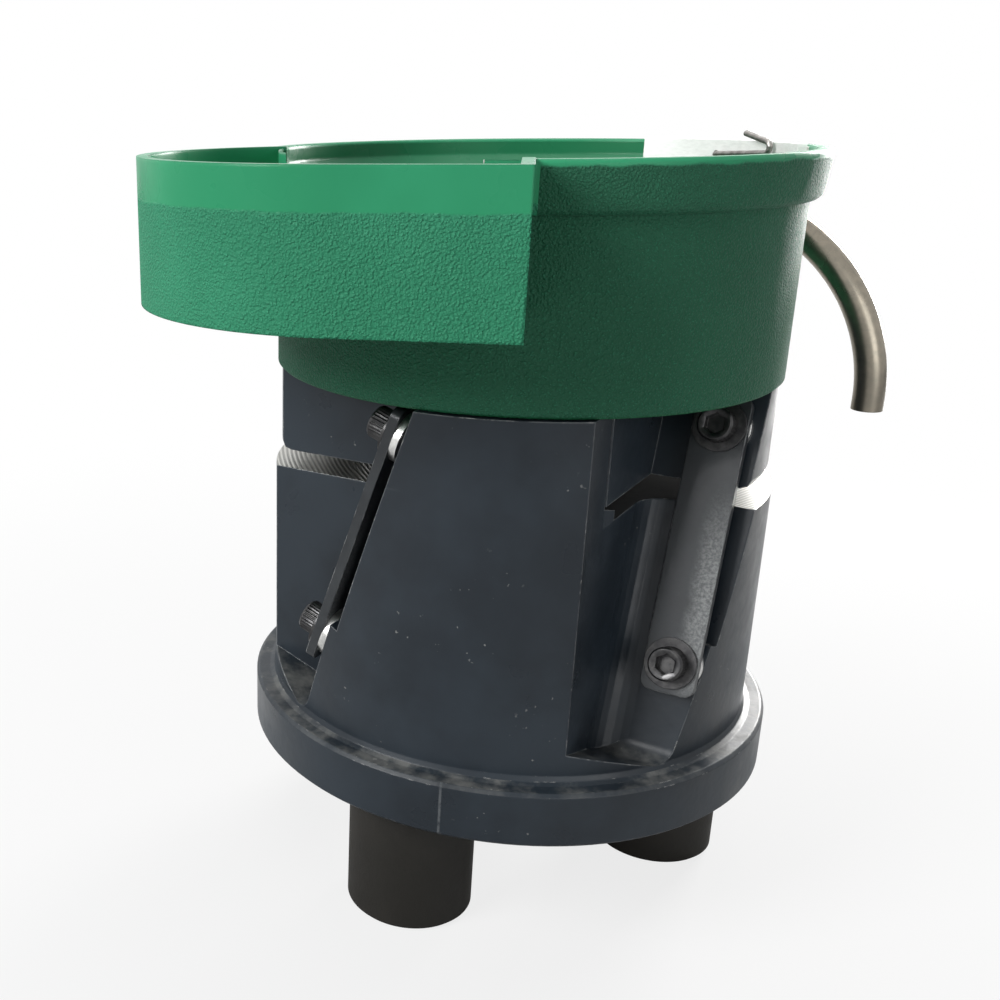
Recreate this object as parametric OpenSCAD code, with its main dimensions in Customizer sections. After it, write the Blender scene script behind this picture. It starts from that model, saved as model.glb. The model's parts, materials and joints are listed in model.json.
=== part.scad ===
// Vibratory bowl feeder: a cast base on rubber feet, a top frame carried on four inclined leaf
// springs, an electromagnet between them, and a coated aluminium bowl with an outer return pan,
// an outlet guide and a bent discharge tube. +Z is up; the origin is on the floor, on the bowl's
// axis. Seen from above the springs throw the parts clockwise, so the bowl's track climbs that way.

/* [Feet] */
// Diameter of each rubber foot
foot_d = 40.4; // [34:0.2:44]
// Height of each rubber foot
foot_h = 44.8; // [36:0.2:60]
// Pitch circle radius of the feet
foot_pitch_r = 56; // [52:0.5:60]
// Direction of the front foot, seen from above
foot_angle = 243.9; // [235:0.1:250]
// Nominal thread diameter of the foot studs and inserts
foot_thread_d = 8; // [6:1:10]

/* [Base casting] */
// Diameter of the base flange
flange_d = 170; // [166:1:190]
// Height of the base flange
flange_h = 17.4; // [12:0.2:20]
// Diameter of the base's upright wall
base_d = 156.5; // [154:0.5:160]
// Height of the base from its underside to its milled top
base_h = 91.2; // [88:0.2:100]
// Radial thickness of the front wall
front_wall = 10.25; // [6:0.25:12]
// Width of the cone behind the front wall
front_slope_w = 13; // [8:0.5:16]
// Radius of the cavity that holds the electromagnet
cavity_r = 38; // [36.5:0.5:40]
// Thickness of the base floor under the electromagnet
base_floor = 11.2; // [8:0.2:14]

/* [Spring pockets] */
// Direction of the first spring pocket
pocket_angle = 247.4; // [240:0.1:255]
// Distance of the pockets' flat back wall from the axis
pocket_flat = 47.5; // [46:0.5:49]
// Lean of the springs and their seats from upright
spring_tilt = 18.8; // [10:0.2:22]
// Sideways distance of the spring seat from the pocket's centre line
seat_offset = 17; // [15:0.5:19]
// Depth of that seat reference below the base's milled top
seat_drop = 16; // [14:0.2:18]
// Height of the pocket floor at the seat above the flange
pocket_rise = 0.15; // [0:0.05:3]
// Radius of the corner between pocket floor and spring seat
pocket_corner_r = 5.5; // [3:0.5:7]
// Radius between a slot's flat and its seat, in the base
pocket_round = 9; // [6:0.5:10]
// Depth of the relief above the lower seat pad
relief_depth = 3; // [1:0.5:4]
// Distance from the seat reference down to the start of the relief
relief_start = 23.2; // [20:0.2:26]

/* [Leaf springs] */
// Width of a leaf spring
spring_w = 15.4; // [14:0.1:17]
// Thickness of a leaf spring pack
spring_t = 3; // [1.5:0.1:4]
// Distance of the springs' centre line from the axis
spring_r = 65.4; // [64:0.1:66]
// Distance between the two clamping screws of a spring
screw_pitch = 70; // [66:0.2:72]
// Distance from the seat reference down to the lower screw
lower_screw = 30.2; // [29:0.1:31]
// Length of spring beyond each screw
spring_end = 9; // [8:0.1:9.5]
// Thickness of the spacer plate behind each spring end
spacer_t = 2.2; // [1:0.1:3]
// Thickness of the washer under each screw head
washer_t = 1; // [0.6:0.1:1.6]
// Diameter of that washer
washer_d = 15; // [13:0.5:16]
// Nominal diameter of the spring screws
screw_d = 6; // [5:0.5:6]
// Length of thread held in the casting
screw_grip = 14; // [10:0.5:16]

/* [Top frame] */
// Diameter of the top frame
frame_d = 152.6; // [148:0.2:155]
// Height of the top frame
frame_h = 27.7; // [26:0.1:30]
// Open gap between base and top frame
frame_gap = 6; // [3:0.2:8]
// Gap between the front wall and the bowl above it
rim_gap = 0.4; // [0.3:0.1:1.5]
// Clearance in the front wall around the upper screws
screw_clear = 0.8; // [0.6:0.1:1.5]
// Depth of the recess under the top frame
frame_recess = 16; // [15:0.2:17]

/* [Electromagnet] */
// Air gap between core and armature
air_gap = 1; // [0.6:0.1:2]
// Width of the laminated core
core_w = 60; // [54:1:60]
// Depth of the laminated core
core_d = 30; // [26:1:30]
// Height of the laminated core
core_h = 40; // [36:1:44]
// Thickness of the armature
armature_t = 12; // [10:0.5:12]

/* [Bowl] */
// Outer diameter of the bowl
bowl_d = 155.4; // [154:0.2:160]
// Height of the bowl from its underside to its lip
bowl_h = 65.5; // [64:0.5:70]
// Thickness of the bowl's wall
bowl_wall = 3.9; // [3:0.1:4.5]
// Thickness of the bowl's floor at the wall
bowl_floor = 6.3; // [4:0.1:7]
// Rise of the floor towards its centre
floor_rise = 5; // [2:0.5:8]
// Overhang of the rim at its lip
rim_over = 4.6; // [3:0.1:6]
// Height of the rim flange
rim_h = 13; // [11:0.5:14]
// Width of the spiral track inside the wall
track_w = 13.8; // [10:0.2:16]
// Thickness of the spiral track
track_t = 4; // [3:0.2:5]
// Climb of the track in one turn
track_pitch = 26; // [22:0.5:28]

/* [Return pan] */
// Radius of the pan's round end
pan_r = 62.5; // [60:0.5:66]
// Distance of the round end's centre to the left of the axis
pan_x = 45; // [42:0.5:48]
// Distance of the round end's centre in front of the axis
pan_y = 50; // [48:0.5:52]
// Place of the pan's end wall, to the right of the axis
pan_end = 0.4; // [0:0.1:2]
// Height of the pan from its underside to its lip
pan_h = 39.6; // [36:0.2:44]
// Thickness of the pan's wall and floor
pan_wall = 3.2; // [2.4:0.1:4]
// Direction where the bowl's wall is cut open to the pan
cut_from = 205; // [200:1:212]
// Direction where the cut ends, near the pan's end wall
cut_to = 261; // [255:0.5:263]

/* [Outlet] */
// Outer diameter of the discharge tube
tube_d = 9.5; // [8:0.1:10]
// Wall thickness of the discharge tube
tube_wall = 1; // [0.6:0.1:1.5]
// Bend radius of the tube's centre line
tube_bend = 61.5; // [50:0.5:70]
// Straight end of the tube below its bend
tube_tail = 3.5; // [2:0.5:12]
// Distance of the tube's plane from the bowl's axis
tube_offset = 72; // [70:0.2:72.5]
// Direction square to the tube's plane
tube_angle = 64.5; // [60:0.5:70]
// Direction of the guide's right end
guide_from = 2.4; // [0:0.1:10]
// Direction of the guide's rounded left end
guide_to = 61; // [55:0.5:64]
// Thickness of the outlet guide
guide_t = 2.5; // [1.5:0.1:3]
// Diameter of the sweep wire
wire_d = 1.8; // [1.2:0.1:2.4]

/* [Cable inlet] */
// Diameter of the cable that the gland takes
cable_d = 6.6; // [4:0.1:7]
// Height of the gland above the flange's top
gland_rise = 13; // [11:0.5:20]

/* [Hidden] */
SPRINGS = 4;
$fn = 96;

// Clearances and shared small sizes
thread_gap = 0.05;      // radial, between a screw and the thread that holds it
pass_gap = 0.4;         // radial, around a screw that passes through a piece
past = 1;               // how far a cut runs past the face it opens
far = 200;              // longer than anything here
edge = 1;               // small broken edges on the castings
socket_ratio = 0.5;     // hexagon socket's size against its screw's
head_ratio = 1.67;      // socket head's diameter against its screw's

// Heights, from the floor up
base_z = foot_h;
flange_top = base_z + flange_h;
base_top = base_z + base_h;
cavity_z = base_z + base_floor;
frame_z = base_top + frame_gap;
bowl_z = frame_z + frame_h;
wall_top = bowl_z - rim_gap;
recess_z = frame_z + frame_recess;
lip_z = bowl_z + bowl_h;
rim_z = lip_z - rim_h;
pan_z = lip_z + 0.2 - pan_h;
seat_z = base_top - seat_drop;
// Distance along the spring from the seat reference down to the pocket floor
pocket_depth = (seat_z - flange_top - pocket_rise) / cos(spring_tilt);

// Radii
flange_r = flange_d / 2;
base_r = base_d / 2;
frame_r = frame_d / 2;
bowl_r = bowl_d / 2;
inner_r = bowl_r - bowl_wall;
lip_r = bowl_r + rim_over;
lip_inner_r = bowl_r - 0.2;
tube_r = tube_d / 2;

// The discharge tube leaves just under the rim flange
tube_z = rim_z - tube_r - 0.4;
bend_z = tube_z - tube_bend;

// ---- Placing -----------------------------------------------------------------------------

// Local frame of spring pocket i: X out from the axis, -Y off the seat, Z up along the spring
module at_seat(i)
    rotate([0, 0, pocket_angle + 360 / SPRINGS * (i - 1)])
        translate([0, -seat_offset, seat_z])
            rotate([-spring_tilt, 0, 0])
                children();

module at_feet()
    for (i = [0:2]) at_foot(i) children();

module at_foot(i)
    rotate([0, 0, foot_angle + 120 * i]) translate([foot_pitch_r, 0, 0]) children();

// Screw axes run along the local Y, from the heads on the -Y side into the seat
module at_screw(along)
    translate([spring_r, 0, along]) rotate([-90, 0, 0]) children();

// Vertical plane of the discharge tube: X along the tube, Y out from the bowl's axis
module at_tube()
    rotate([0, 0, tube_angle - 90]) translate([0, tube_offset, 0]) children();

// ---- Fasteners ---------------------------------------------------------------------------

// Socket head screw with its seating face at z = 0 and its shank along +Z
module socket_screw(d, shank) {
    head_r = d * head_ratio / 2;
    difference() {
        union() {
            translate([0, 0, -d]) cylinder(r = head_r, h = d);
            cylinder(r = d / 2, h = shank);
        }
        translate([0, 0, -d - past])
            cylinder(r = d * socket_ratio, h = d * 0.55 + past, $fn = 6);
    }
}

module ring(outer_r, inner_r, h)
    difference() {
        cylinder(r = outer_r, h = h);
        translate([0, 0, -past]) cylinder(r = inner_r, h = h + 2 * past);
    }

// Part of a ring between two directions
module sector(outer_r, inner_r, h, from, to)
    rotate([0, 0, from])
        rotate_extrude(angle = to - from)
            translate([inner_r, 0]) square([outer_r - inner_r, h]);

// ---- Feet --------------------------------------------------------------------------------

insert_r = foot_thread_d / 2 + 3;
insert_h = 14;
insert_flange_r = 12;
insert_flange_h = 2.5;
thread_core_r = foot_thread_d * 0.425;
stud_in_foot = 12;
stud_in_base = 9;

module foot(i)
    color("#1d1b1a")
    at_foot(i)
    difference() {
        rotate_extrude()
            polygon([[0, 0], [foot_d / 2 - edge, 0], [foot_d / 2, edge],
                     [foot_d / 2, foot_h - edge], [foot_d / 2 - edge, foot_h], [0, foot_h]]);
        translate([0, 0, -past]) cylinder(r = insert_flange_r, h = insert_flange_h + past);
        cylinder(r = insert_r, h = insert_h);
        translate([0, 0, foot_h - stud_in_foot])
            cylinder(r = foot_thread_d / 2 + thread_gap, h = stud_in_foot + past);
    }

module foot_studs()
    color("silver")
    at_feet()
    translate([0, 0, foot_h - stud_in_foot])
        cylinder(r = foot_thread_d / 2, h = stud_in_foot + stud_in_base);

// Threaded steel insert moulded into the underside of each foot
module foot_inserts()
    color("silver")
    at_feet()
    difference() {
        union() {
            cylinder(r = insert_flange_r, h = insert_flange_h);
            cylinder(r = insert_r, h = insert_h);
        }
        translate([0, 0, -past]) cylinder(r = thread_core_r, h = insert_h + 2 * past);
    }

// ---- Castings ----------------------------------------------------------------------------

// Slot for spring i: everything in front of the seat, above the pocket floor and out of the flat
module pocket(i, floor_at, round_r = 0)
    at_seat(i)
    translate([pocket_flat, 0, 0])
    difference() {
        pocket_cut(floor_at);
        if (round_r > 0)
            translate([0, 0, -far]) linear_extrude(height = 3 * far)
                polygon([[-1, 1], [-1, -round_r],
                         for (a = [0:15:90]) [round_r * (1 - cos(a)), round_r * (sin(a) - 1)],
                         [round_r, 1]]);
    }

module pocket_cut(floor_at)
    rotate([90, 0, 90])
    linear_extrude(height = far)
    difference() {
        translate([-far, -floor_at]) square([far, far + floor_at]);
        difference() {
            translate([-pocket_corner_r, -floor_at]) square(pocket_corner_r);
            translate([-pocket_corner_r, pocket_corner_r - floor_at]) circle(pocket_corner_r);
        }
    }

// Relief above the lower seat pad, where the spring must be free to flex
module relief(i)
    at_seat(i)
    translate([pocket_flat + pocket_round, -past, -relief_start])
        cube([far, relief_depth + past, far]);

module seat_holes(i, along)
    at_seat(i)
    at_screw(along)
        translate([0, 0, -past])
            cylinder(r = screw_d / 2 + thread_gap, h = screw_grip + 2 * past);

// Clearance in the front wall around an upper screw, which moves with the top frame
module screw_room(i)
    at_seat(i)
    at_screw(upper_screw)
        translate([0, 0, -past])
            cylinder(r = screw_d / 2 + screw_clear, h = screw_grip + screw_clear + past);

upper_screw = screw_pitch - lower_screw;
fillet = 2.2;
gland_angle = pocket_angle - 135;
gland_z = flange_top + gland_rise;
gland_r = 6;
gland_face = base_r - 0.9;
gland_flat_r = 10.5;
front_from = pocket_angle - 20;
front_to = pocket_angle + 50;

module at_gland()
    rotate([0, 0, gland_angle]) translate([0, 0, gland_z]) rotate([0, 90, 0]) children();

module base_casting()
    color("#434c55")
    difference() {
        rotate_extrude()
            polygon([[0, base_z], [flange_r - edge, base_z], [flange_r, base_z + edge],
                     [flange_r, flange_top - edge], [flange_r - edge, flange_top],
                     [base_r + fillet, flange_top], [base_r + fillet * 0.3, flange_top + fillet * 0.3],
                     [base_r, flange_top + fillet], [base_r, wall_top], [0, wall_top]]);
        // behind the front wall the top rises in a shallow cone, clear of the top frame
        rotate_extrude()
            polygon([[0, base_top], [base_r - front_wall - front_slope_w, base_top],
                     [base_r - front_wall, frame_z - rim_gap], [base_r - front_wall, far],
                     [0, far]]);
        translate([0, 0, base_top])
            sector(base_r + past, cavity_r, far, front_to, front_from + 360);
        for (i = [1:SPRINGS]) {
            pocket(i, pocket_depth, pocket_round);
            relief(i);
            seat_holes(i, -lower_screw);
            screw_room(i);
        }
        translate([0, 0, cavity_z]) cylinder(r = cavity_r, h = far);
        at_feet()
            translate([0, 0, base_z - past])
                cylinder(r = foot_thread_d / 2 + thread_gap, h = stud_in_base + 1 + past);
        at_gland() {
            cylinder(r = gland_r + thread_gap, h = far);
            translate([0, 0, gland_face]) cylinder(r = gland_flat_r, h = far);
        }
        for (side = [-1, 1])
            translate([side * bracket_screw_x, 0, cavity_z - bracket_grip - 1])
                cylinder(r = bracket_screw_d / 2 + thread_gap, h = far);
    }

module top_frame()
    color("#414a53")
    difference() {
        rotate_extrude()
            polygon([[0, frame_z], [frame_r - 2.5, frame_z], [frame_r - 0.7, frame_z + 0.7],
                     [frame_r, frame_z + 2.5], [frame_r, bowl_z], [0, bowl_z]]);
        for (i = [1:SPRINGS]) {
            pocket(i, pocket_depth);
            seat_holes(i, upper_screw);
        }
        // room for the base's front wall
        translate([0, 0, frame_z - past])
            sector(far, base_r - front_wall - 1, far, front_from, front_to);
        translate([0, 0, frame_z - past]) cylinder(r = cavity_r - 2, h = frame_recess + past);
        translate([0, 0, recess_z - past])
            cylinder(r = stud_d / 2 + thread_gap, h = far);
        for (side = [-1, 1])
            translate([side * armature_screw_x, 0, recess_z - past])
                cylinder(r = armature_screw_d / 2 + thread_gap, h = armature_grip + 1 + past);
    }

// ---- Leaf springs and their clamps -------------------------------------------------------

spring_y = -spacer_t - spring_t;
washer_y = spring_y - washer_t;

module leaf_spring(i) {
    corner = 3;
    low = -lower_screw - spring_end;
    tall = screw_pitch + 2 * spring_end;
    color("#24272b")
    at_seat(i)
    translate([spring_r - spring_w / 2, spring_y, low])
    difference() {
        union() {
            translate([corner, 0, 0]) cube([spring_w - 2 * corner, spring_t, tall]);
            translate([0, 0, corner]) cube([spring_w, spring_t, tall - 2 * corner]);
            for (x = [corner, spring_w - corner], z = [corner, tall - corner])
                translate([x, 0, z]) rotate([-90, 0, 0]) cylinder(r = corner, h = spring_t);
        }
        for (z = [spring_end, tall - spring_end])
            translate([spring_w / 2, -past, z]) rotate([-90, 0, 0])
                cylinder(r = screw_d / 2 + pass_gap, h = spring_t + 2 * past);
    }
}

// Spacer plates between each seat and its spring end
module spacers(along)
    for (i = [1:SPRINGS])
        at_seat(i)
        translate([0, -spacer_t, 0])
        at_screw(along)
        ring(spring_end - 1, screw_d / 2 + pass_gap, spacer_t);

module washers(along)
    for (i = [1:SPRINGS])
        at_seat(i)
        translate([0, washer_y, 0])
        at_screw(along)
        ring(washer_d / 2, screw_d / 2 + pass_gap, washer_t);

module spring_screws(along)
    for (i = [1:SPRINGS])
        at_seat(i)
        translate([0, washer_y, 0])
        at_screw(along)
        socket_screw(screw_d, screw_grip - washer_y);

module lower_spacers() color("#c9cbc8") spacers(-lower_screw);
module upper_spacers() color("#c9cbc8") spacers(upper_screw);
module lower_washers() color("#2b2d30") washers(-lower_screw);
module upper_washers() color("#2b2d30") washers(upper_screw);
module lower_spring_screws() color("#1b1c1f") spring_screws(-lower_screw);
module upper_spring_screws() color("#1b1c1f") spring_screws(upper_screw);

// ---- Electromagnet -----------------------------------------------------------------------

block_h = 7;
armature_z = recess_z - block_h - armature_t;
core_top = armature_z - air_gap;
core_z = core_top - core_h;
leg = core_w * 0.15;
yoke = core_h / 4;
window = (core_w - 4 * leg) / 2;
plate = 5;
bracket_w = 46;
bracket_screw_d = 6;
bracket_screw_x = 29;
bracket_grip = 8;
core_screw_d = 5;
core_screw_x = 13;
core_grip = yoke * 0.6;
armature_screw_d = 6;
armature_screw_x = core_w / 4;
armature_grip = 8;
coil_gap = 0.3;
coil_h = core_h - yoke - 4;
flange_t = 1.5;

// Box-section pedestal with two feet, under the core
module magnet_bracket() {
    tall = core_z - cavity_z;
    color("#8f9498")
    difference() {
        union() {
            translate([-bracket_w / 2, -core_d / 2, cavity_z]) cube([bracket_w, core_d, tall]);
            translate([-bracket_screw_x - 6, -8, cavity_z]) cube([2 * bracket_screw_x + 12, 16, plate]);
        }
        translate([-bracket_w / 2 + plate, -far / 2, cavity_z + plate])
            cube([bracket_w - 2 * plate, far, tall - 2 * plate]);
        for (side = [-1, 1]) {
            translate([side * bracket_screw_x, 0, cavity_z - past])
                cylinder(r = bracket_screw_d / 2 + pass_gap / 2, h = plate + 2 * past);
            translate([side * core_screw_x, 0, core_z - plate - past])
                cylinder(r = core_screw_d / 2 + pass_gap, h = plate + 2 * past);
        }
    }
}

module bracket_screws()
    color("#3a3d40")
    for (side = [-1, 1])
        translate([side * bracket_screw_x, 0, cavity_z + plate]) mirror([0, 0, 1])
            socket_screw(bracket_screw_d, plate + bracket_grip);

module core_screws()
    color("#3a3d40")
    for (side = [-1, 1])
        translate([side * core_screw_x, 0, core_z - plate])
            socket_screw(core_screw_d, plate + core_grip);

// E-shaped stack of laminations
module magnet_core()
    color("#5d6166")
    difference() {
        translate([-core_w / 2, -core_d / 2, core_z]) cube([core_w, core_d, core_h]);
        for (side = [-1, 1]) {
            translate([side * (leg + window / 2) - window / 2, -far / 2, core_z + yoke])
                cube([window, far, far]);
            translate([side * core_screw_x, 0, core_z - past])
                cylinder(r = core_screw_d / 2 + thread_gap, h = core_grip + past);
        }
    }

module coil_tube(grow, h)
    translate([-leg - grow, -core_d / 2 - grow, 0]) cube([2 * (leg + grow), core_d + 2 * grow, h]);

module coil_bobbin()
    color("#e4e0d4")
    translate([0, 0, core_z + yoke])
    difference() {
        union() {
            coil_tube(coil_gap + flange_t, coil_h);
            coil_tube(window - coil_gap, flange_t);
            translate([0, 0, coil_h - flange_t]) coil_tube(window - coil_gap, flange_t);
        }
        translate([0, 0, -past]) coil_tube(coil_gap, coil_h + 2 * past);
    }

module coil_winding()
    color("#a8571f")
    translate([0, 0, core_z + yoke + flange_t])
    difference() {
        coil_tube(window - coil_gap - 1, coil_h - 2 * flange_t);
        translate([0, 0, -past]) coil_tube(coil_gap + flange_t, coil_h + 2 * past);
    }

module armature_block()
    color("#8f9498")
    difference() {
        translate([-core_w / 3, -core_d / 2, recess_z - block_h]) cube([core_w * 2 / 3, core_d, block_h]);
        armature_holes();
    }

module armature()
    color("#5d6166")
    difference() {
        translate([-core_w / 2, -core_d / 2, armature_z]) cube([core_w, core_d, armature_t]);
        armature_holes();
        for (side = [-1, 1])
            translate([side * armature_screw_x, 0, armature_z - past])
                cylinder(r = armature_screw_d * head_ratio / 2 + pass_gap, h = armature_screw_d + 1 + past);
    }

module armature_holes()
    for (side = [-1, 1])
        translate([side * armature_screw_x, 0, armature_z - past])
            cylinder(r = armature_screw_d / 2 + pass_gap, h = armature_t + block_h + 2 * past);

module armature_screws()
    color("#3a3d40")
    for (side = [-1, 1])
        translate([side * armature_screw_x, 0, armature_z + armature_screw_d + 1])
            socket_screw(armature_screw_d, armature_t - armature_screw_d - 1 + block_h + armature_grip);

// ---- Bowl --------------------------------------------------------------------------------

stud_d = 10;
hub_r = 14;
floor_z = bowl_z + bowl_floor;
hub_z = floor_z + floor_rise;
track_end = tube_angle - 4;
track_top = tube_z - tube_r + tube_wall;
track_turns = (track_top - floor_z + 2) / track_pitch;
track_steps = ceil(track_turns * 30);

module bowl_profile()
    polygon([[0, bowl_z], [bowl_r - 0.8, bowl_z], [bowl_r, bowl_z + 0.8],
             [bowl_r, rim_z - 0.8], [bowl_r + rim_over * 0.42, rim_z - 0.3],
             [bowl_r + rim_over * 0.68, rim_z + 0.7], [bowl_r + rim_over * 0.76, rim_z + 2],
             [lip_r - 0.1, lip_z - 2.7], [lip_r, lip_z - 1], [lip_r - 0.6, lip_z],
             [lip_inner_r + 0.6, lip_z], [lip_inner_r, lip_z - 0.6],
             [lip_inner_r, lip_z - 5.2], [inner_r, lip_z - 9.2],
             [inner_r, floor_z + 2.4], [inner_r - 0.8, floor_z + 0.8], [inner_r - 2.4, floor_z],
             [hub_r, hub_z], [0, hub_z]]);

// Spiral track: a flat ribbon that climbs clockwise, with its outer edge sunk in the wall
module track() {
    span = 360 * track_turns;
    rings = [for (k = [0:track_steps])
        let (f = k / track_steps, a = track_end + span * (1 - f),
             z = track_top - track_pitch * track_turns * (1 - f))
        [for (c = [[inner_r - track_w, -track_t], [inner_r + bowl_wall / 2, -track_t],
                   [inner_r + bowl_wall / 2, 0], [inner_r - track_w, 0]])
            [c[0] * cos(a), c[0] * sin(a), z + c[1]]]];
    points = [for (r = rings) each r];
    last = 4 * track_steps;
    sides = [for (k = [0:track_steps - 1], j = [0:3])
        let (a = 4 * k + j, b = 4 * k + (j + 1) % 4)
        each [[a, b + 4, b], [a, a + 4, b + 4]]];
    polyhedron(points, concat([[0, 1, 2, 3]], sides, [[last + 3, last + 2, last + 1, last]]));
}

// Plan of the return pan, drawn in by a wall thickness where asked
module pan_plan(inset)
    intersection() {
        union() {
            translate([-pan_x, -pan_y]) circle(pan_r - inset);
            translate([-pan_x, -pan_y - pan_r + inset]) square([pan_x + pan_end, pan_r]);
        }
        translate([-far, -far]) square([far + pan_end - inset, 2 * far]);
    }

module return_pan()
    difference() {
        translate([0, 0, pan_z]) linear_extrude(height = pan_h) pan_plan(0);
        translate([0, 0, pan_z + pan_wall]) linear_extrude(height = far) pan_plan(pan_wall);
        translate([0, 0, -past]) cylinder(r = bowl_r - 1, h = far * 2);
    }

module bowl()
    color("#1f7a4c")
    difference() {
        union() {
            difference() {
                rotate_extrude() bowl_profile();
                translate([0, 0, pan_z + pan_wall])
                    sector(far, hub_r, far, cut_from, cut_to);
                // the rim flange stops inside the pan
                translate([0, 0, pan_z + pan_wall]) linear_extrude(height = far)
                    difference() {
                        pan_plan(pan_wall);
                        circle(bowl_r);
                    }
            }
            track();
            return_pan();
        }
        translate([0, 0, bowl_z - past]) cylinder(r = stud_d / 2 + pass_gap, h = far);
        tube_path(tube_r + thread_gap, past);
        translate([0, 0, rim_z])
            sector(lip_inner_r, lip_inner_r - 8, far, guide_from, guide_to);
        guide_screw_places() cylinder(r = guide_screw_d / 2 + thread_gap, h = guide_grip + 0.5);
    }

module bowl_stud()
    color("silver")
    translate([0, 0, recess_z + 1])
        cylinder(r = stud_d / 2, h = hub_z - recess_z - 1 + washer_h + nut_h - 2);

washer_h = 2;
nut_h = 9;

module bowl_washer()
    color("silver")
    translate([0, 0, hub_z]) ring(hub_r - 2, stud_d / 2 + pass_gap / 2, washer_h);

module bowl_nut()
    color("silver")
    translate([0, 0, hub_z + washer_h])
    difference() {
        union() {
            cylinder(r = stud_d * 0.92, h = nut_h - 2, $fn = 6);
            cylinder(r = stud_d * 0.72, h = nut_h);
        }
        translate([0, 0, -past]) cylinder(r = stud_d / 2 + thread_gap, h = nut_h - 1 + past);
    }

// ---- Outlet ------------------------------------------------------------------------------

bend_x = 26.7;
mouth_x = 5;

// The tube's line: in through the bowl's wall, round the bend and down
module tube_path(r, extra) {
    at_tube() {
        translate([mouth_x - extra, 0, tube_z]) rotate([0, 90, 0])
            cylinder(r = r, h = bend_x - mouth_x + extra);
        translate([bend_x, 0, bend_z]) rotate([90, 0, 0])
            rotate_extrude(angle = 90) translate([tube_bend, 0]) circle(r);
        translate([bend_x + tube_bend, 0, bend_z - tube_tail - extra])
            cylinder(r = r, h = tube_tail + extra);
    }
}

module discharge_tube()
    color("#a39a8c")
    difference() {
        tube_path(tube_r, 0);
        tube_path(tube_r - tube_wall, past);
    }

guide_r = lip_inner_r - 0.1;
guide_top = lip_z + 0.4;
guide_corner = 5;
guide_screw_d = 3;
guide_grip = 3.2;
guide_head_r = 2.9;
guide_head_h = 1.4;
guide_seat = 0.08;

module guide_screw_places()
    for (a = [guide_from + 8, guide_to - 14])
        rotate([0, 0, a]) translate([guide_r, 0, rim_z + 4.5]) rotate([0, 90, 0]) children();

// Bare aluminium guide plate against the inside of the rim, one top corner rounded
module outlet_guide()
    color("#d5d7d3")
    difference() {
        translate([0, 0, rim_z])
            sector(guide_r, guide_r - guide_t, guide_top - rim_z, guide_from + 0.4, guide_to - 0.4);
        rotate([0, 0, guide_to - 0.4]) translate([0, -guide_corner, guide_top - guide_corner])
            rotate([0, 90, 0]) rotate([0, 0, 90])
            difference() {
                translate([0, 0, guide_r - 2 * guide_t - 2]) linear_extrude(height = far)
                    square(2 * guide_corner);
                cylinder(r = guide_corner, h = far);
            }
        guide_screw_places()
            translate([0, 0, -guide_t - past])
                cylinder(r = guide_screw_d / 2 + 0.1, h = guide_t + 2 * past);
        at_wire() translate([wire_start, 0, 0]) rotate([-90, 0, 0])
            cylinder(r = wire_d / 2 + 0.25, h = far);
    }

module guide_screws()
    color("#9fa2a5")
    guide_screw_places()
    difference() {
        union() {
            translate([0, 0, -guide_t - guide_seat - guide_head_h])
                cylinder(r = guide_head_r, h = guide_head_h);
            translate([0, 0, -guide_t - guide_seat])
                cylinder(r = guide_screw_d / 2, h = guide_t + guide_seat + guide_grip);
        }
        translate([0, 0, -guide_t - guide_seat - guide_head_h - past])
            cylinder(r = guide_screw_d * 0.33, h = guide_head_h * 0.7 + past, $fn = 6);
    }

wire_angle = 26;
wire_offset = 71.9;
wire_start = -17;
wire_bend_x = 10.5;
wire_bend_r = 1.7;
wire_turn = 166;
wire_tip = 11.5;
wire_lean = 2.5;
wire_z = lip_z - 3.4;

// Vertical plane of the sweep wire, leaning a little up towards its bend
module at_wire()
    rotate([0, 0, wire_angle - 90]) translate([0, wire_offset, wire_z])
        rotate([0, -wire_lean, 0]) children();

// A straight run of wire with a round joint at its far end
module wire_run(from, to) {
    step = to - from;
    translate(from) rotate([0, acos(step[2] / norm(step)), atan2(step[1], step[0])])
        cylinder(r = wire_d / 2, h = norm(step));
    translate(to) sphere(wire_d / 2 * 1.02);
}

// Bent wire: peened through the guide, along its face, and hooked back above the lip
module sweep_wire() {
    r = wire_d / 2;
    elbow = wire_d;
    bends = 5;
    hook = [for (k = [0:bends]) let (a = wire_turn * k / bends - 90)
        [wire_bend_x + wire_bend_r * cos(a), 0, wire_bend_r * (1 + sin(a))]];
    color("#8c8c8a")
    at_wire() {
        translate([wire_start, elbow, 0]) rotate([-90, 0, 0])
            cylinder(r = r, h = sqrt(pow(guide_r, 2) - pow(wire_start, 2)) - 0.4 - wire_offset - elbow);
        translate([wire_start + elbow, elbow, 0]) rotate([0, 0, 180])
            rotate_extrude(angle = 90) translate([elbow, 0]) circle(r);
        translate([wire_start + elbow, 0, 0]) rotate([0, 90, 0])
            cylinder(r = r, h = wire_bend_x - wire_start - elbow);
        translate(hook[0]) sphere(r * 1.02);
        for (k = [1:bends]) wire_run(hook[k - 1], hook[k]);
        translate(hook[bends]) rotate([0, 90 - wire_turn, 0]) cylinder(r = r, h = wire_tip);
    }
}

// ---- Cable inlet -------------------------------------------------------------------------

gland_hex_h = 5;
gland_hex_r = 9.6;
gland_nut_h = 9;
gland_thread = 12;
seal_h = 5;
gland_out = 7;

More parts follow.
